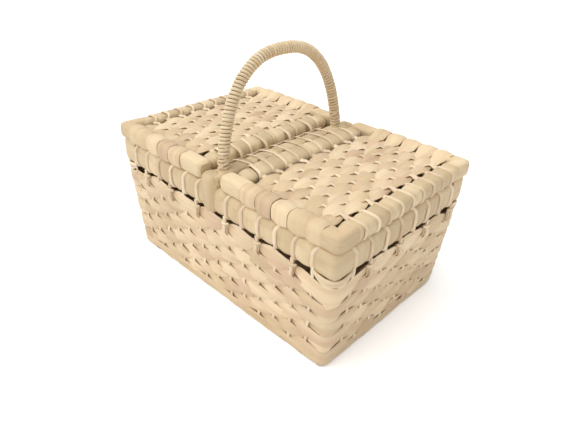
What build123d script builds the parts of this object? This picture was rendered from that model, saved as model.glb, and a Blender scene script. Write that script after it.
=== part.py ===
from build123d import *
import os
from math import asin, cos, pi, sin, sqrt

# Driving dimensions in millimetres: X along the basket, Y across it, Z up from the base

# Woven basket
base_length = 372.0
base_width = 244.0
wall_height = 129.5
wall_thickness = 7.0
floor_thickness = 6.0
base_edge_tuck = 5.0
corner_radius = 18.0
weft_relief = 3.0
weft_rows = 10
long_side_warps = 12
short_side_warps = 7

# Leaf-wrapped rim on the warps, above an open band
rim_height = 32.0
rim_width = 16.0
rim_edge = 6.0
rim_inset = 2.5
rim_corner_cut = 7.0
block_length = 27.0
open_band_height = 10.5

# Cords and leaf wraps
cord_thickness = 1.5
cord_width = 4.6
warp_thickness = 2.4
fit_clearance = 0.3
eye_sides = 6
hinge_cord_sides = 8
corner_cord_sides = 6
corner_cord_bends = 3

# Twin lids
lid_length = 400.0
lid_width = 266.0
lid_thickness = 21.5
lid_corner_cut = 6.0
rail_width = 20.0
rail_edge = 6.0
hinge_rail_width = 26.5
tie_gap = 4.5
panel_thickness = 8.0
panel_drop = 3.0
lid_weft_columns = 10
lid_warps = 10
leaf_gap = 0.8

# Fixed centre bar and the two hinge cords beside it
bar_width = 21.0
bar_height = 14.5
bar_edge = 4.0
hinge_gap = 4.5
hinge_cord_radius = 1.8
bar_end_cover = 12.5
bar_wrap_width = 20.0

# Wound handle
handle_inset = 22.5
handle_rise = 173.0
handle_lean = 12.7
handle_radius = 6.75
winding_groove = 0.9
peg_radius = 5.0
foot_clearance = 0.9
handle_turns = 18
handle_sides = 6
arch_points = 16
arch_curve_share = 0.81
groove_share = 0.16

cut_overrun = 5.0

# Heights, from the base up
rim_bottom = wall_height + open_band_height + cord_thickness
rim_top = rim_bottom + rim_height
lid_seat = rim_top + cord_thickness
lid_top = lid_seat + lid_thickness
frame_bottom = lid_seat + cord_thickness
frame_height = lid_thickness - 2 * cord_thickness
frame_top = frame_bottom + frame_height
hinge_height = lid_seat + lid_thickness / 2
bar_top = rim_top + bar_height
panel_top = frame_top - panel_drop
panel_bottom = panel_top - panel_thickness
weft_pitch = wall_height / weft_rows

# Reaches in plan, from the middle out
base_reach = base_length / 2
base_half = base_width / 2
frame_reach = lid_length / 2 - cord_thickness
frame_half = lid_width / 2 - cord_thickness
arm_inner = frame_half - rail_width
rim_reach = lid_length / 2 - rim_inset
rim_half = lid_width / 2 - rim_inset
corner_stretch = block_length + cord_width
corner_cut = corner_radius * (2 - sqrt(2))
long_run = rim_reach - corner_stretch
short_run = rim_half - corner_stretch
hinge_reach = bar_width / 2 + hinge_gap
hinge_rail_inner = hinge_reach + hinge_gap
hinge_rail_outer = hinge_rail_inner + hinge_rail_width
panel_inner = hinge_rail_outer + tie_gap
panel_outer = frame_reach - rail_width - tie_gap
panel_half = arm_inner - cord_thickness
lid_weft_pitch = (panel_outer - panel_inner) / lid_weft_columns
lid_warp_pitch = 2 * panel_half / lid_warps
eye_radius = hinge_cord_radius + fit_clearance
handle_span = 2 * (rim_half - handle_inset)

os.makedirs("parts", exist_ok=True)


def keep(builder, name):
    builder.part.label = name
    export_step(builder.part, f"parts/{name}.step")


def at_x(place):
    return Plane.YZ.offset(place)


def at_y(place):
    return Plane.XZ.offset(-place)


# Half sizes of the tapered wall at a height
def wall_size(height):
    lean = height / wall_height
    return base_reach + (rim_reach - base_reach) * lean, base_half + (rim_half - base_half) * lean


# Section of the wall between two opposite faces: it leans out to the rim and tucks in under the base weft
def wall_section(base, top, tuck):
    right_side = [
        (base - tuck, 0),
        (base + (top - base) / weft_rows, weft_pitch),
        (top, wall_height),
    ]
    left_side = [(-place, height) for place, height in reversed(right_side)]
    return right_side + left_side


# Each weft bows out over every second warp of a side, and the next row over the others
def weft_bows(turn, first_row):
    along = Vector(1, 0).rotate(Axis.Z, 90 * turn)
    outward = Vector(0, -1).rotate(Axis.Z, 90 * turn)
    long_side = turn % 2 == 0
    stand, top_stand = (base_half, rim_half) if long_side else (base_reach, rim_reach)
    run, count = (long_run, long_side_warps) if long_side else (short_run, short_side_warps)
    end = (base_reach if long_side else base_half) - corner_cut
    rise = outward * (top_stand - stand) + Vector(0, 0, wall_height)
    rows = range(first_row, weft_rows, 2)
    starts = [outward * stand + rise * (row / weft_rows) for row in rows]
    with BuildPart() as bows:
        with BuildSketch(*[Plane(start, x_dir=along, z_dir=rise) for start in starts]):
            for step in range((first_row + turn // 2 + 1) % 2, count + 1, 2):
                place = run * (2 * step / count - 1)
                with BuildLine():
                    Polyline(
                        (max(place - run / count, -end), 0),
                        (place, -weft_relief),
                        (min(place + run / count, end), 0),
                        close=True,
                    )
                make_face()
        extrude(amount=rise.length / weft_rows)
    return bows


with BuildPart() as woven_basket:
    corner_base = (base_reach + base_half - corner_cut) / sqrt(2)
    corner_top = (rim_reach + rim_half - corner_cut) / sqrt(2)
    for turn, base, top, tuck in (
        (0, base_reach, rim_reach, base_edge_tuck),
        (1, corner_base, corner_top, base_edge_tuck * sqrt(2)),
        (2, base_half, rim_half, base_edge_tuck),
        (3, corner_base, corner_top, base_edge_tuck * sqrt(2)),
    ):
        across = Vector(1, 0).rotate(Axis.Z, 45 * turn)
        with BuildSketch(Plane((0, 0), x_dir=across, z_dir=across.rotate(Axis.Z, -90))):
            with BuildLine():
                Polyline(*wall_section(base, top, tuck), close=True)
            make_face()
        extrude(amount=lid_length, both=True, mode=Mode.INTERSECT if turn else Mode.ADD)
    for turn in range(4):
        add(weft_bows(turn, 1).part)
        add(weft_bows(turn, 2).part)
    floor_reach, floor_half = wall_size(floor_thickness)
    floor_wall = wall_thickness + base_edge_tuck / 2
    mouth_reach, mouth_half = wall_size(wall_height + cut_overrun)
    inside_cut = corner_radius - wall_thickness
    with BuildSketch(Plane.XY.offset(floor_thickness)) as floor_plan:
        Rectangle(2 * (floor_reach - floor_wall), 2 * (floor_half - floor_wall))
        chamfer(floor_plan.vertices(), inside_cut)
    with BuildSketch(Plane.XY.offset(wall_height + cut_overrun)) as mouth_plan:
        Rectangle(2 * (mouth_reach - wall_thickness), 2 * (mouth_half - wall_thickness))
        chamfer(mouth_plan.vertices(), inside_cut)
    loft(ruled=True, mode=Mode.SUBTRACT)
keep(woven_basket, "woven_basket")


# Rim: a ring with its outer edges taken off by the leaf wrap
with BuildPart() as rim_frame:
    with BuildSketch(Plane.XY.offset(rim_bottom)) as rim_plan:
        Rectangle(2 * rim_reach, 2 * rim_half)
        chamfer(rim_plan.vertices(), rim_corner_cut)
        Rectangle(2 * (rim_reach - rim_width), 2 * (rim_half - rim_width), mode=Mode.SUBTRACT)
    extrude(amount=rim_height)
    rim_flats = rim_frame.faces().filter_by(Axis.Z)
    chamfer([edge for face in rim_flats for edge in face.outer_wire().edges()], rim_edge)
keep(rim_frame, "rim_frame")


# Section of the rim, seen along it, on the side that sign gives
def rim_section(sign, outer):
    return [
        (sign * (outer - rim_width), rim_bottom),
        (sign * (outer - rim_edge), rim_bottom),
        (sign * outer, rim_bottom + rim_edge),
        (sign * outer, rim_top - rim_edge),
        (sign * (outer - rim_edge), rim_top),
        (sign * (outer - rim_width), rim_top),
    ]


# Section of a lid rail between two places, flat underneath
def rail_section(inner, outer, sign):
    return [
        (sign * inner, frame_bottom),
        (sign * outer, frame_bottom),
        (sign * outer, frame_top - rail_edge),
        (sign * (outer - rail_edge), frame_top),
        (sign * (inner + rail_edge), frame_top),
        (sign * inner, frame_top - rail_edge),
    ]


# Warp cords: each loops round the rim and comes down its outer face to the top weft
def warp_cords(planes, sign, outer):
    section = rim_section(sign, outer)
    post_height = open_band_height + cord_thickness + rim_edge
    post_width = cord_thickness + wall_thickness / 2 + warp_thickness / 2
    post_place = outer + cord_thickness - post_width / 2
    with BuildPart() as cords:
        with BuildSketch(*planes):
            with BuildLine():
                Polyline(*section, close=True)
            make_face()
            offset(amount=cord_thickness, kind=Kind.INTERSECTION)
            with Locations((sign * post_place, wall_height + post_height / 2)):
                Rectangle(post_width, post_height)
            with BuildLine():
                Polyline(*section, close=True)
            make_face(mode=Mode.SUBTRACT)
        extrude(amount=cord_width / 2, both=True)
    return cords


long_warp_places = [long_run * (2 * step / long_side_warps - 1) for step in range(long_side_warps + 1)]
short_warp_places = [short_run * (2 * step / short_side_warps - 1) for step in range(short_side_warps + 1)]
free_long_places = [place for place in long_warp_places if abs(place) > bar_wrap_width / 2 + cord_width]
long_planes = [at_x(place) for place in free_long_places]
short_planes = [at_y(place) for place in short_warp_places]
for name, planes, sign, outer in (
    ("front_warp_cords", long_planes, -1, rim_half),
    ("back_warp_cords", long_planes, 1, rim_half),
    ("left_warp_cords", short_planes, -1, rim_reach),
    ("right_warp_cords", short_planes, 1, rim_reach),
):
    keep(warp_cords(planes, sign, outer), name)


# Smooth leaf blocks round the rim's corners, clear of the last warp cords
with BuildPart() as rim_corner_wraps:
    block_bottom = rim_bottom - cord_thickness
    block_height = rim_height + 2 * cord_thickness
    with BuildSketch(Plane.XY.offset(block_bottom)) as block_plan:
        Rectangle(2 * (rim_reach + cord_thickness), 2 * (rim_half + cord_thickness))
        chamfer(block_plan.vertices(), rim_corner_cut)
    extrude(amount=block_height)
    chamfer(rim_corner_wraps.faces().filter_by(Axis.Z).edges(), rim_edge)
    add(rim_frame.part, mode=Mode.SUBTRACT)
    with BuildSketch(Plane.XY.offset(block_bottom - cut_overrun)):
        Rectangle(2 * (rim_reach - block_length), 2 * (rim_half + cut_overrun))
        Rectangle(2 * (rim_reach + cut_overrun), 2 * (rim_half - block_length))
        Rectangle(2 * (rim_reach - rim_width), 2 * (rim_half - rim_width))
    extrude(amount=block_height + 2 * cut_overrun, mode=Mode.SUBTRACT)
keep(rim_corner_wraps, "rim_corner_wraps")


# Twin cords that curve under each corner block and rest on the top weft
with BuildPart() as corner_cords:
    corner_cord = open_band_height / 2
    bend_radius = corner_radius - wall_thickness / 2
    bend_x = rim_reach - corner_radius
    bend_y = rim_half - corner_radius
    for level in range(2):
        cord_height = wall_height + corner_cord * (level + 1 / 2)
        with BuildLine() as cord_line:
            start = Vector(bend_x, -bend_y - bend_radius, cord_height)
            bends = []
            for step in range(1, corner_cord_bends):
                reach = Vector(0, -bend_radius).rotate(Axis.Z, 90 * step / corner_cord_bends)
                bends.append(Vector(bend_x, -bend_y, cord_height) + reach)
            Polyline(start, *bends, Vector(bend_x + bend_radius, -bend_y, cord_height))
        with BuildSketch(Plane(start, x_dir=(0, 1, 0), z_dir=(1, 0, 0))):
            RegularPolygon(corner_cord / 2, corner_cord_sides, major_radius=False)
        sweep(path=cord_line.wire(), transition=Transition.RIGHT)
    mirror(about=Plane.XZ)
    mirror(about=Plane.YZ)
keep(corner_cords, "corner_cords")


# Section of the centre bar, seen along it
bar_section = [
    (-bar_width / 2, rim_top),
    (bar_width / 2, rim_top),
    (bar_width / 2, bar_top - bar_edge),
    (bar_width / 2 - bar_edge, bar_top),
    (bar_edge - bar_width / 2, bar_top),
    (-bar_width / 2, bar_top - bar_edge),
]

# Leaning arch of the handle: a superellipse that springs from the foot of the rim
lean_angle = asin(handle_lean / handle_rise)
arch_plane = Plane((0, 0, rim_bottom), x_dir=(0, 1, 0), z_dir=(cos(lean_angle), 0, sin(lean_angle)))
foot_share = (bar_top + foot_clearance - rim_bottom) / handle_rise / cos(lean_angle)
foot_angle = asin(foot_share ** (1 / arch_curve_share))


def arch_point(turn):
    across = cos(turn)
    return (
        handle_span / 2 * (1 if across > 0 else -1) * abs(across) ** arch_curve_share,
        handle_rise * sin(turn) ** arch_curve_share,
    )


arch_turns = [foot_angle + (pi - 2 * foot_angle) * step / arch_points for step in range(arch_points + 1)]
with BuildLine(arch_plane) as arch:
    Spline(*[arch_point(turn) for turn in arch_turns])
arch_line = arch.wires()[0]


# Plane square to the handle at a share of its length
def handle_plane(share):
    return Plane(arch_line.position_at(share), x_dir=arch_plane.z_dir, z_dir=arch_line.tangent_at(share))


# Handle: a strip wound in close turns, with a peg at each foot
with BuildPart() as wound_handle:
    with BuildSketch(handle_plane(0)):
        RegularPolygon(handle_radius - winding_groove, handle_sides)
    for turn in range(handle_turns):
        for ring_share, depth in ((groove_share, 0), (1 - groove_share, 0), (1, winding_groove)):
            with BuildSketch(handle_plane((turn + ring_share) / handle_turns)):
                RegularPolygon(handle_radius - depth, handle_sides)
    loft(ruled=True)
    for share, way in ((0, -1), (1, 1)):
        with BuildSketch(handle_plane(share)):
            RegularPolygon(peg_radius, handle_sides)
        extrude(amount=way * bar_height)
keep(wound_handle, "wound_handle")


# Centre bar, across the rim between the lids, bored for the handle's pegs
with BuildPart() as centre_bar:
    with BuildSketch(Plane.XZ):
        with BuildLine():
            Polyline(*bar_section, close=True)
        make_face()
    extrude(amount=rim_half, both=True)
    for share in (0, 1):
        with BuildSketch(handle_plane(share)):
            RegularPolygon(peg_radius + fit_clearance, handle_sides)
        extrude(amount=bar_height + cut_overrun, both=True, mode=Mode.SUBTRACT)
keep(centre_bar, "centre_bar")


# Leaf wrap over each end of the bar and round the rim below it
def bar_end_wrap(sign):
    bar_middle = rim_top + bar_height / 2
    with BuildPart() as wrap:
        with BuildSketch(Plane.YZ):
            with BuildLine():
                Polyline(*rim_section(sign, rim_half), close=True)
            make_face()
            with Locations((sign * (rim_half - bar_end_cover / 2), bar_middle)):
                Rectangle(bar_end_cover, bar_height)
            offset(amount=cord_thickness, kind=Kind.INTERSECTION)
            with BuildLine():
                Polyline(*rim_section(sign, rim_half), close=True)
            make_face(mode=Mode.SUBTRACT)
            with Locations((0, bar_middle)):
                Rectangle(2 * rim_half, bar_height, mode=Mode.SUBTRACT)
        extrude(amount=bar_wrap_width / 2, both=True)
    return wrap


keep(bar_end_wrap(-1), "front_bar_wrap")
keep(bar_end_wrap(1), "back_bar_wrap")


# Hinge cords, one each side of the bar, for the lids to turn on
lid_warp_places = [lid_warp_pitch * (step - lid_warps / 2) for step in range(1, lid_warps)]
for name, sign in (("left_hinge_cord", -1), ("right_hinge_cord", 1)):
    with BuildPart() as hinge_cord:
        with BuildSketch(Plane.XZ):
            with Locations((sign * hinge_reach, hinge_height)):
                RegularPolygon(hinge_cord_radius, hinge_cord_sides)
        extrude(amount=lid_warp_places[-1], both=True)
    keep(hinge_cord, name)

# Bar loops: each holds the bar and both hinge cords, midway between the lids' own loops
bar_loop_places = [place + lid_warp_pitch / 2 for place in lid_warp_places[:-1:2]]
with BuildPart() as bar_loops:
    with BuildSketch(*[at_y(place) for place in bar_loop_places]):
        with BuildLine():
            Polyline(*bar_section, close=True)
        make_face()
        with Locations((-hinge_reach, hinge_height), (hinge_reach, hinge_height)):
            RegularPolygon(eye_radius, eye_sides, major_radius=False)
        make_hull()
        offset(amount=cord_thickness, kind=Kind.INTERSECTION)
        with BuildLine():
            Polyline(*bar_section, close=True)
        make_face(mode=Mode.SUBTRACT)
        with Locations((-hinge_reach, hinge_height), (hinge_reach, hinge_height)):
            RegularPolygon(eye_radius, eye_sides, major_radius=False, mode=Mode.SUBTRACT)
    extrude(amount=cord_width / 2, both=True)
keep(bar_loops, "bar_loops")


# Lid frame: a bent rail with two arms that reach to the hinge
def lid_frame(sign):
    with BuildPart() as frame:
        with BuildSketch(Plane.XY.offset(frame_bottom)) as frame_plan:
            Rectangle(2 * frame_reach, 2 * frame_half)
            chamfer(frame_plan.vertices(), lid_corner_cut)
            with Locations((sign * (hinge_rail_inner - frame_reach), 0)):
                Rectangle(2 * frame_reach, 2 * frame_half, mode=Mode.SUBTRACT)
            Rectangle(2 * (frame_reach - rail_width), 2 * arm_inner, mode=Mode.SUBTRACT)
        extrude(amount=frame_height)
        chamfer(frame.faces().sort_by(Axis.Z)[-1].edges(), rail_edge)
    return frame


# Hinge rail between the arms
def hinge_rail(sign):
    with BuildPart() as rail:
        with BuildSketch(Plane.XZ):
            with BuildLine():
                Polyline(*rail_section(hinge_rail_inner, hinge_rail_outer, sign), close=True)
            make_face()
        extrude(amount=arm_inner, both=True)
    return rail


# Woven lid panel: each leaf column bows up over every second warp, and the next one over the others
def lid_panel(sign):
    base = [
        (panel_half, panel_top),
        (panel_half, panel_bottom),
        (-panel_half, panel_bottom),
        (-panel_half, panel_top),
    ]
    with BuildPart() as panel:
        for column in range(lid_weft_columns):
            crown = []
            for step in range(1 + column % 2, lid_warps, 2):
                warp_place = lid_warp_pitch * (step - lid_warps / 2)
                crown.append((warp_place - lid_warp_pitch / 2, panel_top))
                crown.append((warp_place, panel_top + weft_relief))
                crown.append((warp_place + lid_warp_pitch / 2, panel_top))
            with BuildSketch(at_x(sign * (panel_inner + lid_weft_pitch * column))):
                with BuildLine():
                    Polyline(*crown, *base, close=True)
                make_face()
            extrude(amount=sign * lid_weft_pitch)
    return panel


# Cord loops round a lid rail, each tied across the open slot to the panel's edge
def rail_loops(places, sign, inner, outer, tie_start):
    section = rail_section(inner, outer, sign)
    with BuildPart() as loops:
        with BuildSketch(*[at_y(place) for place in places]):
            with BuildLine():
                Polyline(*section, close=True)
            make_face()
            offset(amount=cord_thickness, kind=Kind.INTERSECTION)
            with Locations((sign * (tie_start + tie_gap / 2), panel_bottom + panel_thickness / 2)):
                Rectangle(tie_gap, warp_thickness)
            with BuildLine():
                Polyline(*section, close=True)
            make_face(mode=Mode.SUBTRACT)
        extrude(amount=cord_width / 2, both=True)
    return loops


# Hinge loops: round the hinge rail and, with clearance, round the hinge cord
def hinge_loops(places, sign):
    section = rail_section(hinge_rail_inner, hinge_rail_outer, sign)
    with BuildPart() as loops:
        with BuildSketch(*[at_y(place) for place in places]):
            with BuildLine():
                Polyline(*section, close=True)
            make_face()
            with Locations((sign * hinge_reach, hinge_height)):
                RegularPolygon(eye_radius, eye_sides, major_radius=False)
            make_hull()
            offset(amount=cord_thickness, kind=Kind.INTERSECTION)
            with Locations((sign * (hinge_rail_outer + tie_gap / 2), panel_bottom + panel_thickness / 2)):
                Rectangle(tie_gap, warp_thickness)
            with BuildLine():
                Polyline(*section, close=True)
            make_face(mode=Mode.SUBTRACT)
            with Locations((sign * hinge_reach, hinge_height)):
                RegularPolygon(eye_radius, eye_sides, major_radius=False, mode=Mode.SUBTRACT)
        extrude(amount=cord_width / 2, both=True)
    return loops


# Broad leaf wraps round one arm, one for each pair of leaf columns
def arm_wraps(sign, arm_sign):
    section = rail_section(arm_inner, frame_half, arm_sign)
    pitch = 2 * lid_weft_pitch
    places = [panel_inner + pitch * (step + 1 / 2) for step in range(lid_weft_columns // 2)]
    with BuildPart() as wraps:
        with BuildSketch(*[at_x(sign * place) for place in places]):
            with BuildLine():
                Polyline(*section, close=True)
            make_face()
            offset(amount=cord_thickness, kind=Kind.INTERSECTION)
            with BuildLine():
                Polyline(*section, close=True)
            make_face(mode=Mode.SUBTRACT)
        extrude(amount=(pitch - leaf_gap) / 2, both=True)
    return wraps


# Smooth leaf patches over the outer corners of a lid and over the hinge ends of its arms
def lid_corner_wraps(sign, frame):
    reach = lid_length / 2 - panel_outer - leaf_gap
    patch_start = panel_inner - leaf_gap
    patch_end = hinge_rail_inner - cord_thickness
    with BuildPart() as wraps:
        with BuildSketch(Plane.XY.offset(lid_seat)) as lid_plan:
            Rectangle(lid_length, lid_width)
            chamfer(lid_plan.vertices(), lid_corner_cut)
        extrude(amount=lid_thickness)
        chamfer(wraps.faces().sort_by(Axis.Z)[-1].edges(), rail_edge + cord_thickness / 2)
        with BuildSketch(Plane.XY.offset(lid_seat - cut_overrun)):
            Rectangle(lid_length - 2 * reach, lid_width + cut_overrun)
            Rectangle(lid_length + cut_overrun, lid_width - 2 * reach)
            with Locations((-sign * lid_length / 2, 0)):
                Rectangle(lid_length, lid_width + cut_overrun)
        extrude(amount=lid_thickness + 2 * cut_overrun, mode=Mode.SUBTRACT)
        with BuildSketch(at_x(sign * patch_start)):
            for arm_sign in (-1, 1):
                with BuildLine():
                    Polyline(*rail_section(arm_inner, frame_half, arm_sign), close=True)
                make_face()
            offset(amount=cord_thickness, kind=Kind.INTERSECTION)
        extrude(amount=sign * (patch_end - patch_start))
        cross_faces = wraps.faces().filter_by(Axis.X).sort_by(Axis.X)
        end_faces = cross_faces[:2] if sign > 0 else cross_faces[-2:]
        end_edges = end_faces.edges().filter_by(Axis.Y).sort_by(Axis.Z)
        chamfer(end_edges[-2:], rail_edge + cord_thickness / 2)
        add(frame.part, mode=Mode.SUBTRACT)
        with BuildSketch(Plane.XY.offset(lid_seat - cut_overrun)):
            Rectangle(2 * (frame_reach - rail_width), 2 * arm_inner)
        extrude(amount=lid_thickness + 2 * cut_overrun, mode=Mode.SUBTRACT)
    return wraps


for side, sign in (("left", -1), ("right", 1)):
    frame = lid_frame(sign)
    end_inner = frame_reach - rail_width
    keep(frame, f"{side}_lid_frame")
    keep(hinge_rail(sign), f"{side}_lid_hinge_rail")
    keep(lid_panel(sign), f"{side}_lid_panel")
    keep(rail_loops(lid_warp_places, sign, end_inner, frame_reach, panel_outer), f"{side}_lid_end_loops")
    keep(
        rail_loops(lid_warp_places[::2], sign, hinge_rail_inner, hinge_rail_outer, hinge_rail_outer),
        f"{side}_lid_rail_loops",
    )
    keep(hinge_loops(lid_warp_places[1::2], sign), f"{side}_lid_hinge_loops")
    keep(arm_wraps(sign, -1), f"{side}_lid_front_wraps")
    keep(arm_wraps(sign, 1), f"{side}_lid_back_wraps")
    keep(lid_corner_wraps(sign, frame), f"{side}_lid_corner_wraps")
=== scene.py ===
import bmesh
import bpy
from functools import partial
from math import asin, cos, pi, radians, sin
from mathutils import Matrix, Vector


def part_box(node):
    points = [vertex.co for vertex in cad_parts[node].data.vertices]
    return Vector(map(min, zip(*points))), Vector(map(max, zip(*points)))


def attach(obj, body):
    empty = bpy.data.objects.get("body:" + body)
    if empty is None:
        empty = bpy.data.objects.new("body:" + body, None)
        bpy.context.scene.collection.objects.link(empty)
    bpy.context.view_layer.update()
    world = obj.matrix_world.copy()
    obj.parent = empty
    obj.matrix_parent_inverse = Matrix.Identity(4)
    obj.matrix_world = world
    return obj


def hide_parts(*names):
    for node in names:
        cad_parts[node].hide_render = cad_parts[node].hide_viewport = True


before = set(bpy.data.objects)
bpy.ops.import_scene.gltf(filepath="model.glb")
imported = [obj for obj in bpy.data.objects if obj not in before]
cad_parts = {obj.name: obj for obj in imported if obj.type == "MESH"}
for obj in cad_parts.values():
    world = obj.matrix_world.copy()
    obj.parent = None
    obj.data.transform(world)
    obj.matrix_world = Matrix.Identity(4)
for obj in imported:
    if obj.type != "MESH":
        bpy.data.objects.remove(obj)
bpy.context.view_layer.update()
mm = 0.001
alongX = Vector((1, 0, 0))
alongY = Vector((0, 1, 0))
upward = Vector((0, 0, 1))
print("frame loaded:", len(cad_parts), "nodes")


# sizes that every piece shares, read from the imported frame
def boxOf(node):
    low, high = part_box(node)
    return Vector(low), Vector(high)


rimLow, rimHigh = boxOf("rim_frame")
barLow, barHigh = boxOf("centre_bar")
railLow, railHigh = boxOf("right_lid_hinge_rail")
lidLow, lidHigh = boxOf("right_lid_frame")
panelLow, panelHigh = boxOf("right_lid_panel")
hingeLow, hingeHigh = boxOf("right_hinge_cord")


# small builders for node trees
def link(tree, start, end):
    tree.links.new(start, end)


def addNode(tree, kind, settings=None, values=None):
    node = tree.nodes.new(kind)
    for key, value in (settings or {}).items():
        setattr(node, key, value)
    for key, value in (values or {}).items():
        if isinstance(value, bpy.types.NodeSocket):
            link(tree, value, node.inputs[key])
        else:
            node.inputs[key].default_value = value
    return node


def addField(tree, kind, settings=None, values=None):
    return addNode(tree, kind, settings, values).outputs[0]


def calc(tree, operation, *values, clamp=False):
    settings = {"operation": operation, "use_clamp": clamp}
    return addField(tree, "ShaderNodeMath", settings, dict(enumerate(values)))


def vecCalc(tree, operation, first, second=None, scale=None):
    values = {0: first}
    if second is not None:
        values[1] = second
    if scale is not None:
        values["Scale"] = scale
    return addField(tree, "ShaderNodeVectorMath", {"operation": operation}, values)


def mapRange(tree, value, low, high, newLow=0.0, newHigh=1.0, smooth=True):
    kind = "SMOOTHSTEP" if smooth else "LINEAR"
    values = {"Value": value, "From Min": low, "From Max": high, "To Min": newLow, "To Max": newHigh}
    return addNode(tree, "ShaderNodeMapRange", {"interpolation_type": kind}, values).outputs["Result"]


def mixColor(tree, share, first, second, blend="MIX"):
    settings = {"data_type": "RGBA", "blend_type": blend}
    return addNode(tree, "ShaderNodeMix", settings, {0: share, 6: first, 7: second}).outputs[2]


def newGroup(name, kind, inputs, outputs):
    tree = bpy.data.node_groups.new(name, kind)
    for label, socketType, value in inputs:
        socket = tree.interface.new_socket(name=label, in_out="INPUT", socket_type=socketType)
        if value is not None:
            socket.default_value = value
    for label, socketType in outputs:
        tree.interface.new_socket(name=label, in_out="OUTPUT", socket_type=socketType)
    return tree, tree.nodes.new("NodeGroupInput"), tree.nodes.new("NodeGroupOutput")


# long fibre streaks and soft creases that run along each strip
fibreForm = {
    "stripSpread": 61.0, "fineScale": 1.6, "broadScale": 0.45, "streakEnds": (0.32, 0.68),
    "creaseWidth": 0.05, "streakHeight": 0.45, "creaseDepth": 0.22,
}


def makeFibreGroup():
    tree, entry, leave = newGroup(
        "leafFibres", "ShaderNodeTree", [
            ("Leaf", "NodeSocketVector", None), ("Along", "NodeSocketFloat", 22.0),
            ("Across", "NodeSocketFloat", 7.0),
        ],
        [("Streak", "NodeSocketFloat"), ("Crease", "NodeSocketFloat"), ("Height", "NodeSocketFloat")],
    )
    new, num = partial(addField, tree), partial(calc, tree)
    parts = addNode(tree, "ShaderNodeSeparateXYZ", values={0: entry.outputs["Leaf"]}).outputs
    place = new("ShaderNodeCombineXYZ", values={
        0: num("MULTIPLY", parts[0], entry.outputs["Along"]),
        1: num("MULTIPLY", parts[1], entry.outputs["Across"]),
        2: num("MULTIPLY", parts[2], fibreForm["stripSpread"]),
    })
    fine = new("ShaderNodeTexNoise", values={
        "Vector": place, "Scale": fibreForm["fineScale"], "Detail": 4.0, "Roughness": 0.62,
    })
    broad = new("ShaderNodeTexNoise", values={
        "Vector": place, "Scale": fibreForm["broadScale"], "Detail": 2.0, "Roughness": 0.5,
    })
    streak = mapRange(tree, fine, *fibreForm["streakEnds"])
    ridge = num("ABSOLUTE", num("SUBTRACT", broad, 0.5))
    crease = mapRange(tree, ridge, 0.0, fibreForm["creaseWidth"], 1.0, 0.0)
    height = num("MULTIPLY_ADD", streak, fibreForm["streakHeight"], broad)
    height = num("SUBTRACT", height, num("MULTIPLY", crease, fibreForm["creaseDepth"]))
    link(tree, streak, leave.inputs["Streak"])
    link(tree, crease, leave.inputs["Crease"])
    link(tree, height, leave.inputs["Height"])
    return tree


# straw colour that drifts from strip to strip and along each strip, with the husk brown mixed into dry
# patches and fibre streaks, and as painted shade into the creases
toneForm = {
    "stripSpread": 137.0, "acrossScale": 0.7, "lotTurns": 7.31, "lotShare": 0.35, "blushEnds": (0.5, 0.85),
    "blushMost": 0.9, "sunEnds": (0.52, 0.9), "sunMost": 0.85, "huskEnds": (0.52, 0.75), "huskMost": 0.35,
    "streakHusk": 0.15, "creasePaintedShade": 0.07, "shadeEnds": (0.91, 1.09), "dryMost": 0.6, "dryRough": 0.14,
}


def makeToneGroup():
    tree, entry, leave = newGroup(
        "leafTone", "ShaderNodeTree",
        [("Leaf", "NodeSocketVector", None)]
        + [("Streak", "NodeSocketFloat", 0.5), ("Crease", "NodeSocketFloat", 0.0)]
        + [(color, "NodeSocketColor", None) for color in ("Straw", "Blush", "Sun", "HuskAndCreaseShade")]
        + [("Drift", "NodeSocketFloat", 14.0)],
        [("Color", "NodeSocketColor"), ("DrynessAndCreaseShade", "NodeSocketFloat")],
    )
    given = entry.outputs
    new, num = partial(addField, tree), partial(calc, tree)
    parts = addNode(tree, "ShaderNodeSeparateXYZ", values={0: given["Leaf"]}).outputs
    place = new("ShaderNodeCombineXYZ", values={
        0: num("MULTIPLY", parts[0], given["Drift"]), 1: num("MULTIPLY", parts[1], toneForm["acrossScale"]),
        2: num("MULTIPLY", parts[2], toneForm["stripSpread"]),
    })
    drift = addNode(tree, "ShaderNodeTexNoise", values={
        "Vector": place, "Scale": 1.0, "Detail": 2.0, "Roughness": 0.5,
    }).outputs["Color"]
    hues = addNode(tree, "ShaderNodeSeparateColor", values={0: drift}).outputs
    lot = num("FRACT", num("MULTIPLY", parts[2], toneForm["lotTurns"]))
    blush = num("MULTIPLY_ADD", parts[2], toneForm["lotShare"], hues[0])
    blush = mapRange(tree, blush, *toneForm["blushEnds"])
    sun = num("MULTIPLY_ADD", lot, toneForm["lotShare"], hues[1])
    sun = mapRange(tree, sun, *toneForm["sunEnds"])
    color = mixColor(tree, num("MULTIPLY", blush, toneForm["blushMost"]), given["Straw"], given["Blush"])
    color = mixColor(tree, num("MULTIPLY", sun, toneForm["sunMost"]), color, given["Sun"])
    huskAndCreaseShade = num("MULTIPLY", mapRange(tree, hues[2], *toneForm["huskEnds"]), toneForm["huskMost"])
    huskAndCreaseShade = num("MULTIPLY_ADD", num("SUBTRACT", 1.0, given["Streak"]), toneForm["streakHusk"], huskAndCreaseShade)
    # painted shade: the creases get a little more of the dark husk brown
    huskAndCreaseShade = num("MULTIPLY_ADD", given["Crease"], toneForm["creasePaintedShade"], huskAndCreaseShade, clamp=True)
    color = mixColor(tree, huskAndCreaseShade, color, given["HuskAndCreaseShade"])
    shade = mapRange(tree, lot, 0.0, 1.0, *toneForm["shadeEnds"], smooth=False)
    shade = new("ShaderNodeCombineColor", values={0: shade, 1: shade, 2: shade})
    link(tree, mixColor(tree, 1.0, color, shade, "MULTIPLY"), leave.inputs["Color"])
    link(tree, huskAndCreaseShade, leave.inputs["DrynessAndCreaseShade"])
    return tree


fibreGroup = makeFibreGroup()
toneGroup = makeToneGroup()


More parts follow.
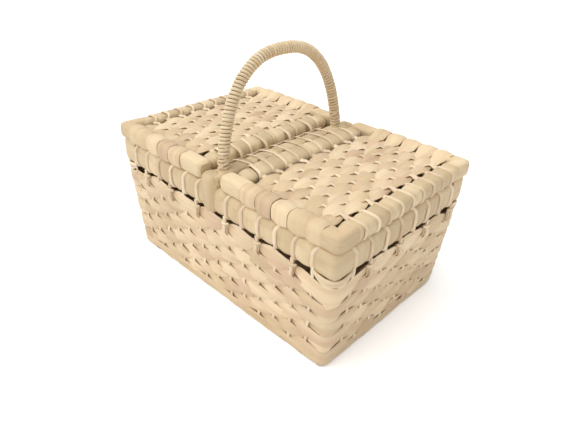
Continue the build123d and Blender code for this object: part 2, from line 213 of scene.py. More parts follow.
def leafFinish(name, look):
    material = bpy.data.materials.new(name)
    material.use_nodes = True
    tree = material.node_tree
    shader = tree.nodes["Principled BSDF"]
    leaf = addNode(tree, "ShaderNodeAttribute", {"attribute_name": "leaf"}).outputs["Vector"]
    fibres = addNode(tree, "ShaderNodeGroup", {"node_tree": fibreGroup}, {
        "Leaf": leaf, "Along": look["along"], "Across": look["across"],
    }).outputs
    tone = addNode(tree, "ShaderNodeGroup", {"node_tree": toneGroup}, {
        "Leaf": leaf, "Streak": fibres["Streak"], "Crease": fibres["Crease"], "Straw": look["straw"],
        "Blush": look["blush"], "Sun": look["sun"], "HuskAndCreaseShade": look["huskAndCreaseShade"], "Drift": look["drift"],
    }).outputs
    dryRough = look["rough"] + toneForm["dryRough"]
    rough = mapRange(tree, tone["DrynessAndCreaseShade"], 0.0, toneForm["dryMost"], look["rough"], dryRough, smooth=False)
    bump = addNode(tree, "ShaderNodeBump", values={
        "Strength": look["bump"], "Distance": look["bumpDepth"], "Height": fibres["Height"],
    })
    link(tree, tone["Color"], shader.inputs["Base Color"])
    link(tree, rough, shader.inputs["Roughness"])
    link(tree, bump.outputs["Normal"], shader.inputs["Normal"])
    shader.inputs["Specular IOR Level"].default_value = look["specular"]
    return material


# husk is the dark brown of dry patches and fibre streaks, and also the painted shade in the creases
finishes = {
    "weave": {
        "straw": (0.75, 0.57, 0.345, 1), "blush": (0.72, 0.505, 0.335, 1), "sun": (0.83, 0.67, 0.445, 1),
        "huskAndCreaseShade": (0.47, 0.305, 0.15, 1), "along": 22.0, "across": 8.0, "drift": 9.0, "rough": 0.5,
        "bump": 0.65, "bumpDepth": 0.8 * mm, "specular": 0.4,
    },
    "wrap": {
        "straw": (0.72, 0.555, 0.325, 1), "blush": (0.70, 0.52, 0.31, 1), "sun": (0.79, 0.64, 0.41, 1),
        "huskAndCreaseShade": (0.46, 0.30, 0.145, 1), "along": 26.0, "across": 11.0, "drift": 10.0, "rough": 0.46,
        "bump": 0.8, "bumpDepth": 0.8 * mm, "specular": 0.4,
    },
    "cord": {
        "straw": (0.80, 0.645, 0.44, 1), "blush": (0.76, 0.58, 0.39, 1), "sun": (0.84, 0.71, 0.52, 1),
        "huskAndCreaseShade": (0.52, 0.35, 0.19, 1), "along": 40.0, "across": 3.0, "drift": 20.0, "rough": 0.55,
        "bump": 0.5, "bumpDepth": 0.4 * mm, "specular": 0.3,
    },
    "winding": {
        "straw": (0.86, 0.71, 0.48, 1), "blush": (0.77, 0.58, 0.35, 1), "sun": (0.93, 0.82, 0.61, 1),
        "huskAndCreaseShade": (0.44, 0.285, 0.135, 1), "along": 60.0, "across": 3.5, "drift": 24.0, "rough": 0.4,
        "bump": 0.5, "bumpDepth": 0.5 * mm, "specular": 0.5,
    },
}
finish = {slot: leafFinish(slot + "Leaf", look) for slot, look in finishes.items()}
print("finishes made:", ", ".join(finish))

# one tree turns routes into leaf strips: wide over a warp, pinched under the next one
stripForm = {
    "lotStride": 97.0, "seedShift": 3.7, "lotShift": 9.0, "wanderScale": 42.0, "foldAcross": 2.6,
    "foldAlong": 26.0, "foldLot": 40.0, "ground": 0.3 * mm,
}
# inputs of the tree that a look gives in millimetres
stripLengths = ("Width", "Pinched Width", "Thickness", "Relief", "Crown", "Lean", "Step", "Wander", "Fold")


def makeStripTree():
    sizes = {
        "Width": 24 * mm, "Pinched Width": 24 * mm, "Thickness": 1.2 * mm, "Relief": 0.0, "Crown": 0.0,
        "Lean": 0.0, "Step": 3 * mm, "Wander": 0.0, "Fold": 0.0, "Ragged": 0.0, "Roundness": 1.0,
        "Swell": 1.0, "Ground": stripForm["ground"],
    }
    tree, entry, leave = newGroup(
        "leafStrips", "GeometryNodeTree",
        [("Routes", "NodeSocketGeometry", None)]
        + [(name, "NodeSocketFloat", size) for name, size in sizes.items()]
        + [("Sides", "NodeSocketInt", 12), ("Seed", "NodeSocketInt", 1)]
        + [("Leaf", "NodeSocketMaterial", None)],
        [("Strips", "NodeSocketGeometry")],
    )
    given = entry.outputs
    new, num, vec = partial(addField, tree), partial(calc, tree), partial(vecCalc, tree)

    def named(name, kind="FLOAT"):
        return new("GeometryNodeInputNamedAttribute", {"data_type": kind}, {"Name": name})

    def store(geometry, name, kind, value):
        return new("GeometryNodeStoreNamedAttribute", {"data_type": kind, "domain": "POINT"}, {
            "Geometry": geometry, "Name": name, "Value": value,
        })

    def joined(x, y, z):
        return new("ShaderNodeCombineXYZ", values={0: x, 1: y, 2: z})

    # sweep a round section along every route
    curve = new("GeometryNodeMeshToCurve", values={"Mesh": given["Routes"]})
    curve = new("GeometryNodeCurveSplineType", {"spline_type": "CATMULL_ROM"}, {"Curve": curve})
    curve = new("GeometryNodeResampleCurve", {"mode": "LENGTH"}, {"Curve": curve, "Length": given["Step"]})
    spot = new("GeometryNodeInputPosition")
    stripNumber = new("GeometryNodeFieldOnDomain", {"domain": "CURVE", "data_type": "INT"}, {
        "Value": new("GeometryNodeInputIndex"),
    })
    turns = num("FLOOR", num("MULTIPLY_ADD", named("phase"), 1 / (2 * pi), 0.5))
    lot = addNode(tree, "FunctionNodeRandomValue", {"data_type": "FLOAT"}, {
        "ID": num("MULTIPLY_ADD", stripNumber, stripForm["lotStride"], turns), "Seed": given["Seed"],
    }).outputs[1]
    curve = store(curve, "centre", "FLOAT_VECTOR", spot)
    curve = store(curve, "run", "FLOAT", addNode(tree, "GeometryNodeSplineParameter").outputs["Length"])
    curve = store(curve, "lot", "FLOAT", lot)
    ring = new("GeometryNodeCurvePrimitiveCircle", values={"Resolution": given["Sides"], "Radius": 1.0})
    ring = store(ring, "section", "FLOAT_VECTOR", spot)
    mesh = new("GeometryNodeCurveToMesh", values={"Curve": curve, "Profile Curve": ring, "Fill Caps": True})

    # powers below one square the round section off
    centre, run, lot = named("centre", "FLOAT_VECTOR"), named("run"), named("lot")
    phase, girth = named("phase"), named("girth")
    ringSpots = addNode(tree, "ShaderNodeSeparateXYZ", values={0: named("section", "FLOAT_VECTOR")}).outputs
    section = [
        num("MULTIPLY", num("SIGN", part), num("POWER", num("ABSOLUTE", part), given["Roundness"]))
        for part in (ringSpots[0], ringSpots[1])
    ]

    # width, with ragged edges
    swell = num("COSINE", phase)
    slope = num("MULTIPLY", num("SINE", phase), -1.0)
    over = num("MULTIPLY_ADD", swell, 0.5, 0.5)
    shift = joined(
        num("MULTIPLY", given["Seed"], stripForm["seedShift"]),
        num("MULTIPLY", lot, stripForm["lotShift"]), 0.0,
    )
    noisePlace = vec("ADD", vec("SCALE", centre, scale=stripForm["wanderScale"]), shift)
    noise = addNode(tree, "ShaderNodeTexNoise", values={
        "Vector": noisePlace, "Scale": 1.0, "Detail": 1.0,
    }).outputs
    drift = vec("SCALE", vec("SUBTRACT", noise[1], (0.5, 0.5, 0.5)), scale=given["Wander"])
    rag = num("MULTIPLY", given["Ragged"], 2.0)
    rag = num("MULTIPLY_ADD", num("SUBTRACT", noise[0], 0.5), rag, 1.0)
    width = num("SUBTRACT", given["Width"], given["Pinched Width"])
    width = num("MULTIPLY_ADD", width, num("POWER", over, given["Swell"]), given["Pinched Width"])
    halfWidth = num("MULTIPLY", num("MULTIPLY", num("MULTIPLY", width, 0.5), rag), girth)

    # height over the route: thickness, weave, crown, lean and folds
    foldPlace = joined(
        num("MULTIPLY", section[0], stripForm["foldAcross"]), num("MULTIPLY", run, stripForm["foldAlong"]),
        num("MULTIPLY", lot, stripForm["foldLot"]),
    )
    folds = new("ShaderNodeTexNoise", values={"Vector": foldPlace, "Scale": 1.0, "Detail": 1.0})
    lift = num("MULTIPLY", num("MULTIPLY", given["Thickness"], 0.5), girth)
    lift = num("MULTIPLY", section[1], lift)
    lift = num("MULTIPLY_ADD", swell, given["Relief"], lift)
    dome = num("SUBTRACT", 1.0, num("MULTIPLY", section[0], section[0]))
    lift = num("MULTIPLY_ADD", num("MULTIPLY", dome, over), given["Crown"], lift)
    lift = num("MULTIPLY_ADD", num("MULTIPLY", section[0], slope), given["Lean"], lift)
    lift = num("MULTIPLY_ADD", num("SUBTRACT", folds, 0.5), num("MULTIPLY", given["Fold"], 2.0), lift)
    across = vec("SCALE", named("across", "FLOAT_VECTOR"), scale=num("MULTIPLY", section[0], halfWidth))
    place = vec("ADD", centre, across)
    place = vec("ADD", place, vec("SCALE", named("outward", "FLOAT_VECTOR"), scale=lift))
    parts = addNode(tree, "ShaderNodeSeparateXYZ", values={0: vec("ADD", place, drift)}).outputs
    place = joined(parts[0], parts[1], num("MAXIMUM", parts[2], given["Ground"]))
    mesh = new("GeometryNodeSetPosition", values={"Geometry": mesh, "Position": place})
    mesh = store(mesh, "leaf", "FLOAT_VECTOR", joined(run, section[0], lot))
    for name in ("centre", "run", "lot", "section", "phase", "girth", "across", "outward"):
        mesh = new("GeometryNodeRemoveAttribute", values={"Geometry": mesh, "Name": name})
    mesh = new("GeometryNodeSetShadeSmooth", values={"Geometry": mesh})
    mesh = new("GeometryNodeRealizeInstances", values={"Geometry": mesh})
    mesh = new("GeometryNodeSetMaterial", values={"Geometry": mesh, "Material": given["Leaf"]})
    link(tree, mesh, leave.inputs["Strips"])
    return tree


stripTree = makeStripTree()
stripSockets = {
    item.name: item.identifier for item in stripTree.interface.items_tree
    if item.item_type == "SOCKET" and item.in_out == "INPUT"
}


# routes for the tree: points with the strip's cross direction, its outward direction and its weave phase
def newRoutes():
    return {"points": [], "edges": [], "across": [], "outward": [], "phase": [], "girth": []}


def addRoute(routes, points, across, outward, phase=0.0, closed=False, girth=1.0):
    start = len(routes["points"])
    count = len(points)
    routes["points"] += points
    for key, value in (("across", across), ("outward", outward), ("phase", phase), ("girth", girth)):
        routes[key] += value if isinstance(value, list) else [value] * count
    routes["edges"] += [(start + step, start + step + 1) for step in range(count - 1)]
    if closed:
        routes["edges"].append((start + count - 1, start))


triangles = {}


def layStrips(name, routes, look, slot, body, nodes=()):
    guide = bpy.data.meshes.new(name + "Guide")
    guide.from_pydata(routes["points"], routes["edges"], [])
    for key in ("across", "outward"):
        field = guide.attributes.new(key, "FLOAT_VECTOR", "POINT")
        field.data.foreach_set("vector", [part for vector in routes[key] for part in vector])
    for key in ("phase", "girth"):
        guide.attributes.new(key, "FLOAT", "POINT").data.foreach_set("value", routes[key])
    maker = bpy.data.objects.new(name + "Maker", guide)
    bpy.context.collection.objects.link(maker)
    strips = maker.modifiers.new("leafStrips", "NODES")
    strips.node_group = stripTree
    for socket, value in {"Pinched Width": look["Width"], **look}.items():
        strips[stripSockets[socket]] = value * mm if socket in stripLengths else value
    strips[stripSockets["Leaf"]] = finish[slot]
    evaluated = maker.evaluated_get(bpy.context.evaluated_depsgraph_get())
    mesh = bpy.data.meshes.new_from_object(evaluated)
    mesh.name = name
    maker.modifiers.remove(strips)
    bpy.data.objects.remove(maker)
    shell = bmesh.new()
    shell.from_mesh(mesh)
    bmesh.ops.recalc_face_normals(shell, faces=shell.faces)
    shell.to_mesh(mesh)
    shell.free()
    if not mesh.materials:
        mesh.materials.append(finish[slot])
    piece = bpy.data.objects.new(name, mesh)
    bpy.context.collection.objects.link(piece)
    triangles[name] = sum(len(face.vertices) - 2 for face in mesh.polygons)
    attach(piece, body)
    if nodes:
        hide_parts(*nodes)
    print(name, "strips laid:", triangles[name], "triangles")


def bent(value, power):
    return abs(value) ** power * (1 if value > 0 else -1)


# closed loop round a rail: a rounded section across the axis, shifted along it by slant, skew and curl
loopForm = {"points": 32, "underCurl": 0.35}


def addLoop(routes, centre, axis, side, halfSide, halfUp, bend=0.5, slant=0.0, skew=0.0, curl=0.0):
    points, outs = [], []
    sharp = 2 / bend - 1
    for step in range(loopForm["points"]):
        turn = 2 * pi * (step + 0.5) / loopForm["points"]
        x, y = bent(cos(turn), bend), bent(sin(turn), bend)
        shift = slant * y + skew * x + curl * y * y * (1 if y > 0 else loopForm["underCurl"])
        points.append(centre + side * halfSide * x + upward * halfUp * y + axis * shift)
        outs.append((side * (bent(x, sharp) / halfSide) + upward * (bent(y, sharp) / halfUp)).normalized())
    addRoute(routes, points, axis, outs, closed=True)


warpCounts = {"long": 12, "corner": 2, "short": 7}  # weave steps of each side and corner
warpsRound = 2 * (warpCounts["long"] + warpCounts["short"]) + 4 * warpCounts["corner"]
sideCounts = (warpCounts["long"], warpCounts["short"]) * 2  # front, right, back, left
cornerStarts = []
for count in sideCounts:
    cornerStarts.append((cornerStarts[-1] + warpCounts["corner"] if cornerStarts else 0) + count)
# first warp and count of each side, and the way its stitches lean
sideLeans = (1, -1, 1, -1)
sideRuns = [(corner - count, count, lean) for corner, count, lean in zip(cornerStarts, sideCounts, sideLeans)]

wallForm = {
    "baseReach": 188 * mm, "baseHalf": 124 * mm, "cornerRadius": 18 * mm, "baseCorner": 12 * mm,
    "edgeRadius": 9 * mm, "cornerStretch": 31.6 * mm, "rows": 10, "rimWidth": 16 * mm, "rimCorner": 6.5 * mm,
    "outset": 2.2 * mm,
}


# place round the basket, counted in warps from the front left corner
def ringSpot(turn, reach, half, radius):
    turn %= warpsRound
    for quarter, count in enumerate(sideCounts):
        along = (alongX, alongY, -alongX, -alongY)[quarter]
        outward = (-alongY, alongX, alongY, -alongX)[quarter]
        isLong = quarter % 2 == 0
        stand = half if isLong else reach
        run = (reach if isLong else half) - wallForm["cornerStretch"]
        if turn < count:
            return outward * stand + along * run * (2 * turn / count - 1), outward, along
        turn -= count
        if turn < warpCounts["corner"]:
            lead = wallForm["cornerStretch"] - radius
            arc = radius * pi / 2
            path = turn / warpCounts["corner"] * (2 * lead + arc)
            angle = min(max((path - lead) / radius, 0), pi / 2)
            normal = outward * cos(angle) + along * sin(angle)
            forward = along * cos(angle) - outward * sin(angle)
            extra = min(path - lead, 0) + max(path - lead - arc, 0)
            spot = outward * (stand - radius) + along * (run + lead) + normal * radius + forward * extra
            return spot, normal, forward
        turn -= warpCounts["corner"]


# wall profile: a rounded base edge, then a straight outward lean; v runs up along it
wallTop = boxOf("woven_basket")[1].z
topReach = rimHigh.x + wallForm["outset"]
topHalf = rimHigh.y + wallForm["outset"]
edgeArc = wallForm["edgeRadius"] * pi / 2
wallLength = edgeArc + wallTop - wallForm["edgeRadius"]
rowPitch = wallTop / wallForm["rows"]


def wallSpot(turn, v):
    radius = wallForm["edgeRadius"]
    angle = min(v, edgeArc) / radius
    tuck = radius * (1 - sin(angle))
    height = radius * (1 - cos(angle)) + max(v - edgeArc, 0)
    share = height / wallTop
    reach = wallForm["baseReach"] + (topReach - wallForm["baseReach"]) * share - tuck
    half = wallForm["baseHalf"] + (topHalf - wallForm["baseHalf"]) * share - tuck
    bend = wallForm["baseCorner"] + (wallForm["cornerRadius"] - wallForm["baseCorner"]) * share
    spot, normal, forward = ringSpot(turn, reach, half, bend)
    leanRate = (topReach - wallForm["baseReach"]) / wallTop
    rise = Vector((normal.x, normal.y, 0)) * (cos(angle) + leanRate) + upward * sin(angle)
    rise.normalize()
    outward = normal * rise.z - upward * rise.dot(normal)
    return spot + upward * height, rise, outward.normalized(), forward


# wefts of the wall: ten rows that sag under the corner blocks, and one tucked under the base edge
wallWefts = {
    "sink": 3.0 * mm, "perWarp": 4, "sag": 8 * mm, "sagRows": 4, "sagReach": 2.2, "cornerPinch": 0.2,
    "tucked": -10 * mm, "tuckedGirth": 0.8, "topGirth": 1.28, "topShift": 2 * mm, "baseShift": 2 * mm,
    "look": {
        "Width": 24, "Pinched Width": 11, "Thickness": 1.3, "Relief": 0.7, "Crown": 1.7, "Lean": -1.4,
        "Step": 3.4, "Wander": 2.0, "Fold": 1.5, "Ragged": 0.14, "Swell": 0.45, "Sides": 14, "Seed": 3,
    },
    "liningSink": 1.0 * mm, "liningTop": 0.85, "liningLook": {
        "Width": 22, "Pinched Width": 11, "Thickness": 1.1, "Relief": 0.6, "Crown": 1.1, "Lean": -1.0,
        "Step": 4.2, "Wander": 1.4, "Fold": 0.6, "Ragged": 0.08, "Swell": 0.45, "Sides": 10, "Seed": 4,
    },
}


# how near a place is to a corner of the basket, from 0 to 1
def cornerShare(turn):
    halfRound = warpsRound / 2
    middles = [corner + warpCounts["corner"] / 2 for corner in cornerStarts]
    nearest = min(abs((turn - middle + halfRound) % warpsRound - halfRound) for middle in middles)
    return max(0.0, 1 - (nearest / wallWefts["sagReach"]) ** 2) ** 2


# weave phase of a row: it stays over round the corners that it meets on top
def weftPhase(turn, row):
    held = 0.0
    for start in cornerStarts:
        if (start + row + 1) % 2 == 0:
            held += min(max(turn - start, 0), warpCounts["corner"])
    return pi * (turn - held + row + 1)


routes = newRoutes()
lining = newRoutes()
topRow = wallForm["rows"] - 1
for row in range(-1, wallForm["rows"]):
    v = wallLength - (wallForm["rows"] - row - 0.5) * rowPitch
    v += wallWefts["topShift"] if row == topRow else wallWefts["baseShift"] if row == 0 else 0.0
    sag = wallWefts["sag"] * max(0.0, 1 - (topRow - row) / wallWefts["sagRows"])
    girth = wallWefts["tuckedGirth"] if row < 1 else wallWefts["topGirth"] if row == topRow else 1.0
    points, rises, outs, phases, girths = [], [], [], [], []
    for step in range(warpsRound * wallWefts["perWarp"] + 1):
        turn = step / wallWefts["perWarp"]
        near = cornerShare(turn)
        spot, rise, outward, forward = wallSpot(turn, v - sag * near if row >= 0 else 0.0)
        if row < 0:
            spot += rise * wallWefts["tucked"]
        points.append(spot - outward * wallWefts["sink"])
        rises.append(rise)
        outs.append(outward)
        phases.append(weftPhase(turn, row) if row > 0 else 0.0)
        girths.append(girth * (1 - wallWefts["cornerPinch"] * near))
    addRoute(routes, points, rises, outs, phases, girth=girths)
    # the inside shows the same weave, one warp along
    points = [spot - out * wallWefts["liningSink"] for spot, out in zip(points, outs)]
    phases = [phase + pi for phase in phases]
    girth = wallWefts["liningTop"] if row == topRow else 1.0
    addRoute(lining, points, [-rise for rise in rises], [-out for out in outs], phases, girth=girth)
layStrips("wallLining", lining, wallWefts["liningLook"], "weave", "basket")
layStrips("wallWefts", routes, wallWefts["look"], "weave", "basket", ["woven_basket"])

# warp cords of the wall, out where the weft is in
wallWarps = {
    "sink": 3.0 * mm, "baseSink": 5.0 * mm, "bandSink": 1.0 * mm, "intoRim": 6 * mm, "perRow": 4,
    "look": {
        "Width": 4.6, "Thickness": 2.4, "Relief": 1.7, "Step": 2.6, "Wander": 0.8, "Ragged": 0.15, "Sides": 7,
        "Seed": 5,
    },
}
routes = newRoutes()
standHeight = rimLow.z + wallWarps["intoRim"] - wallTop
for turn in range(warpsRound):
    if turn - 1 in cornerStarts:
        continue
    points, sides, outs, phases = [], [], [], []
    for step in range((wallForm["rows"] + 1) * wallWarps["perRow"] + 1):
        rowsDown = step / wallWarps["perRow"]
        spot, rise, outward, forward = wallSpot(turn, max(wallLength - rowPitch * rowsDown, 0))
        phase = pi * (turn + wallForm["rows"] - 0.5 - rowsDown)
        sink = wallWarps["baseSink" if rowsDown > topRow else "sink"]
        spots = [spot - outward * sink]
        if step == 0:  # the open band above the top row
            stand = spot - outward * wallWarps["bandSink"]
            spots = [stand + upward * standHeight, stand + upward * standHeight / 2] + spots
        points += spots
        sides += [forward] * len(spots)
        outs += [outward] * len(spots)
        phases += [phase] * len(spots)
    addRoute(routes, points, sides, outs, phases)
layStrips("wallWarps", routes, wallWarps["look"], "cord", "basket")

# woven floor between the base edges, in two layers that fill each other's gaps
floorWefts = {
    "level": 3.6 * mm, "layer": 1.0 * mm, "perWarp": 4, "overlap": 3 * mm,
    "look": {
        "Width": 25, "Pinched Width": 8, "Thickness": 1.1, "Relief": 1.2, "Crown": 0.5, "Lean": 0.3,
        "Step": 3.6, "Wander": 0.8, "Fold": 0.2, "Ragged": 0.06, "Sides": 10, "Seed": 7,
    },
}
floorReach = wallForm["baseReach"] - wallForm["edgeRadius"] + floorWefts["overlap"]
floorHalf = wallForm["baseHalf"] - wallForm["edgeRadius"] + floorWefts["overlap"]
floorRows = round(2 * floorHalf / rowPitch)
floorSteps = warpCounts["long"]
floorTurns = [step / floorWefts["perWarp"] for step in range(floorSteps * floorWefts["perWarp"] + 1)]
routes = newRoutes()
for row in range(floorRows):
    y = -floorHalf + 2 * floorHalf * (row + 0.5) / floorRows
    for layer in range(2):
        level = floorWefts["level"] - floorWefts["layer"] * layer
        points = [Vector((floorReach * (2 * turn / floorSteps - 1), y, level)) for turn in floorTurns]
        addRoute(routes, points, alongY, upward, [pi * (turn + row + layer) for turn in floorTurns])
layStrips("floorWefts", routes, floorWefts["look"], "weave", "basket")

# rim: a leaf wrap for every step between two stitches
rimWraps = {
    "grow": -0.7 * mm, "bend": 0.42, "curl": 3.0 * mm,
    "look": {
        "Width": 27.8, "Thickness": 1.0, "Crown": 2.2, "Step": 2.6, "Wander": 1.2, "Fold": 0.5,
        "Ragged": 0.05, "Sides": 12, "Seed": 11,
    },
}
rimMiddle = (rimLow.z + rimHigh.z) / 2
rimHalf = (rimHigh.z - rimLow.z) / 2


def rimSpot(turn):
    spot, normal, forward = ringSpot(turn, rimHigh.x, rimHigh.y, wallForm["rimCorner"])
    return spot - normal * wallForm["rimWidth"] / 2 + upward * rimMiddle, normal, forward


def addRimLoop(routes, turn, grow, curl):
    middle, normal, forward = rimSpot(turn)
    halfSide = wallForm["rimWidth"] / 2 + grow
    addLoop(routes, middle, forward, normal, halfSide, rimHalf + grow, rimWraps["bend"], curl=curl)


routes = newRoutes()
for start, count, lean in sideRuns:
    for step in range(count):
        addRimLoop(routes, start + step + 0.5, rimWraps["grow"], rimWraps["curl"] * lean)
layStrips("rimWraps", routes, rimWraps["look"], "wrap", "basket", ["rim_frame"])

# smooth blocks that cover the rim's corners
rimBlocks = {
    "inset": 0.05, "count": 16,
    "look": {
        "Width": 34.5, "Thickness": 17.8, "Step": 2, "Wander": 0.5, "Fold": 0.35, "Roundness": 0.42,
        "Sides": 28, "Seed": 13,
    },
}
routes = newRoutes()
blockTurns = warpCounts["corner"] - 2 * rimBlocks["inset"]
for corner in cornerStarts:
    points, outs = [], []
    for step in range(rimBlocks["count"] + 1):
        turn = corner + rimBlocks["inset"] + blockTurns * step / rimBlocks["count"]
        middle, normal, forward = rimSpot(turn)
        points.append(middle)
        outs.append(normal)
    addRoute(routes, points, upward, outs)
layStrips("rimBlocks", routes, rimBlocks["look"], "wrap", "basket", ["rim_corner_wraps"])

# cord stitches over the rim, one at every warp but the bar's
rimStitches = {
    "grow": 0.8 * mm, "curl": 7 * mm,
    "look": {
        "Width": 5.6, "Thickness": 3.4, "Crown": 0.5, "Step": 2.2, "Wander": 1.0, "Ragged": 0.15, "Sides": 8,
        "Seed": 17,
    },
}
stitchTurns = [
    (start + step, lean) for start, count, lean in sideRuns for step in range(count + 1) if 2 * step != count
]
stitchNodes = ["front_warp_cords", "back_warp_cords", "left_warp_cords", "right_warp_cords"]
routes = newRoutes()
for turn, lean in stitchTurns:
    addRimLoop(routes, turn, rimStitches["grow"], rimStitches["curl"] * lean)
layStrips("rimStitches", routes, rimStitches["look"], "cord", "basket", stitchNodes)

# every second stitch runs on over the top weft, held by a short cross lash
bandTies = {
    "foot": 118 * mm, "footTuck": 2.2 * mm, "intoRim": 3 * mm, "stand": 0.6 * mm, "bulge": 1.6 * mm,
    "steps": 6, "bulgeSteps": 4, "lash": 136.5 * mm, "lashHalf": 5.5 * mm, "lashStand": 2.6 * mm,
    "lashSink": 3.2 * mm,
    "look": {
        "Width": 5.0, "Thickness": 2.2, "Crown": 0.3, "Step": 1.8, "Wander": 0.9, "Ragged": 0.16, "Sides": 8,
        "Seed": 71,
    },
    "lashLook": {
        "Width": 3.8, "Thickness": 2.4, "Step": 1.6, "Wander": 0.8, "Ragged": 0.15, "Sides": 8, "Seed": 73,
    },
}
routes = newRoutes()
lashes = newRoutes()
tieHeight = rimLow.z + bandTies["intoRim"] - bandTies["foot"]
for turn, lean in stitchTurns:
    if turn % 2 == 0:
        continue
    spot, rise, outward, forward = wallSpot(turn, wallLength)
    points = []
    for step in range(bandTies["steps"] + 1):
        height = bandTies["foot"] + tieHeight * step / bandTies["steps"]
        stand = bandTies["stand"] + bandTies["bulge"] * sin(pi * min(1.0, step / bandTies["bulgeSteps"]))
        if step == 0:
            stand -= bandTies["footTuck"]
        points.append(spot + upward * (height - wallTop) + outward * stand)
    addRoute(routes, points, forward, outward)
    points = []
    for share in (-1, -0.5, 0, 0.5, 1):
        stand = bandTies["lashStand"] - bandTies["lashSink"] * share ** 2
        middle = spot + upward * (bandTies["lash"] - wallTop)
        points.append(middle + forward * bandTies["lashHalf"] * share + outward * stand)
    addRoute(lashes, points, upward, outward)
layStrips("bandTies", routes, bandTies["look"], "cord", "basket")
layStrips("bandLashes", lashes, bandTies["lashLook"], "cord", "basket")

# nested cords that hang in a curve under the rim's corner blocks
cornerCords = {
    "depths": (4.5 * mm, 9.0 * mm, 13.5 * mm), "steps": 18, "dipCurve": 0.6, "sink": 1.5 * mm,
    "sinkStep": 0.8 * mm, "intoRim": 0.5 * mm,
    "look": {
        "Width": 4.8, "Thickness": 3.6, "Step": 1.8, "Wander": 0.6, "Ragged": 0.08, "Sides": 10, "Seed": 19,
    },
}
routes = newRoutes()
for corner in cornerStarts:
    for level, depth in enumerate(cornerCords["depths"]):
        sink = cornerCords["sink"] + cornerCords["sinkStep"] * level
        points, outs = [], []
        for step in range(cornerCords["steps"] + 1):
            share = step / cornerCords["steps"]
            turn = corner + warpCounts["corner"] * share
            spot, normal, forward = ringSpot(turn, topReach, topHalf, wallForm["cornerRadius"])
            dip = depth * max(sin(pi * share), 0) ** cornerCords["dipCurve"]
            points.append(spot - normal * sink + upward * (rimLow.z + cornerCords["intoRim"] - dip))
            outs.append(normal)
        addRoute(routes, points, upward, outs)
layStrips("cornerCords", routes, cornerCords["look"], "cord", "basket", ["corner_cords"])

# centre bar in close leaf wraps
barWraps = {
    "pitch": 15.5 * mm, "grow": 0.1 * mm, "slant": 1.5 * mm,
    "look": {
        "Width": 17, "Thickness": 1.0, "Crown": 0.6, "Step": 2.4, "Wander": 0.8, "Fold": 0.25, "Ragged": 0.06,
        "Sides": 10, "Seed": 23,
    },
}
barMiddle = (barLow.z + barHigh.z) / 2
barHalfHeight = (barHigh.z - barLow.z) / 2
barLength = barHigh.y - barLow.y
barCount = round(barLength / barWraps["pitch"])
routes = newRoutes()
for step in range(barCount):
    spot = Vector((0, barLow.y + barLength * (step + 0.5) / barCount, barMiddle))
    halfSide, halfUp = barHigh.x + barWraps["grow"], barHalfHeight + barWraps["grow"]
    addLoop(routes, spot, alongY, alongX, halfSide, halfUp, slant=barWraps["slant"])
layStrips("barWraps", routes, barWraps["look"], "wrap", "basket", ["centre_bar"])

# smooth leaf over each end of the bar: a thumb-shaped wrap down the rim's face, and a lead back along the bar
barEnds = {
    "shift": 2.5 * mm, "stand": -6 * mm, "lead": 24 * mm, "leadSteps": 4,
    "heights": (140.5, 146, 158, 170, 178, 183, 186.3, 188.6, 190.2),  # mm, with a girth for each
    "girths": (0.8, 0.9, 0.95, 1.0, 1.0, 0.94, 0.82, 0.62, 0.3),
    "look": {
        "Width": 28, "Thickness": 25, "Step": 1.2, "Wander": 0.8, "Fold": 0.5, "Roundness": 0.8, "Sides": 28,
        "Seed": 29,
    },
    "leadLook": {
        "Width": 22, "Thickness": 16, "Step": 2, "Wander": 0.8, "Fold": 0.5, "Roundness": 0.7, "Sides": 24,
        "Seed": 83,
    },
}
routes = newRoutes()
leads = newRoutes()
for sign in (-1, 1):
    x = sign * barEnds["shift"]
    stand = sign * (rimHigh.y + barEnds["stand"])
    points = [Vector((x, stand, height * mm)) for height in barEnds["heights"]]
    addRoute(routes, points, alongX, alongY * sign, girth=list(barEnds["girths"]))
    points = []
    for step in range(barEnds["leadSteps"] + 1):
        share = step / barEnds["leadSteps"]
        points.append(Vector((x * (1 - share), stand - sign * barEnds["lead"] * share, barMiddle)))
    addRoute(leads, points, alongX, upward)
layStrips("barEnds", routes, barEnds["look"], "wrap", "basket", ["front_bar_wrap", "back_bar_wrap"])
layStrips("barLeads", leads, barEnds["leadLook"], "wrap", "basket")

# hinge cords of two twisted strands beside the bar
hingeCords = {
    "radius": 0.85 * mm, "pitch": 9 * mm, "strands": 2, "perTurn": 10,
    "look": {"Width": 2.0, "Thickness": 1.8, "Step": 1.8, "Sides": 6, "Seed": 31},
}
hingeX = (hingeLow.x + hingeHigh.x) / 2
hingeZ = (hingeLow.z + hingeHigh.z) / 2
hingeLength = hingeHigh.y - hingeLow.y
hingeSteps = int(hingeLength / hingeCords["pitch"] * hingeCords["perTurn"])
routes = newRoutes()
for sign in (-1, 1):
    for strand in range(hingeCords["strands"]):
        points, outs, crosses = [], [], []
        for step in range(hingeSteps + 1):
            along = hingeLength * step / hingeSteps
            turn = 2 * pi * (along / hingeCords["pitch"] + strand / hingeCords["strands"])
            out = alongX * cos(turn) - upward * sin(turn)
            spot = Vector((sign * hingeX, hingeLow.y + along, hingeZ))
            points.append(spot + out * hingeCords["radius"])
            outs.append(out)
            crosses.append(alongY.cross(out))
        addRoute(routes, points, crosses, outs)
layStrips("hingeCords", routes, hingeCords["look"], "cord", "basket", ["left_hinge_cord", "right_hinge_cord"])

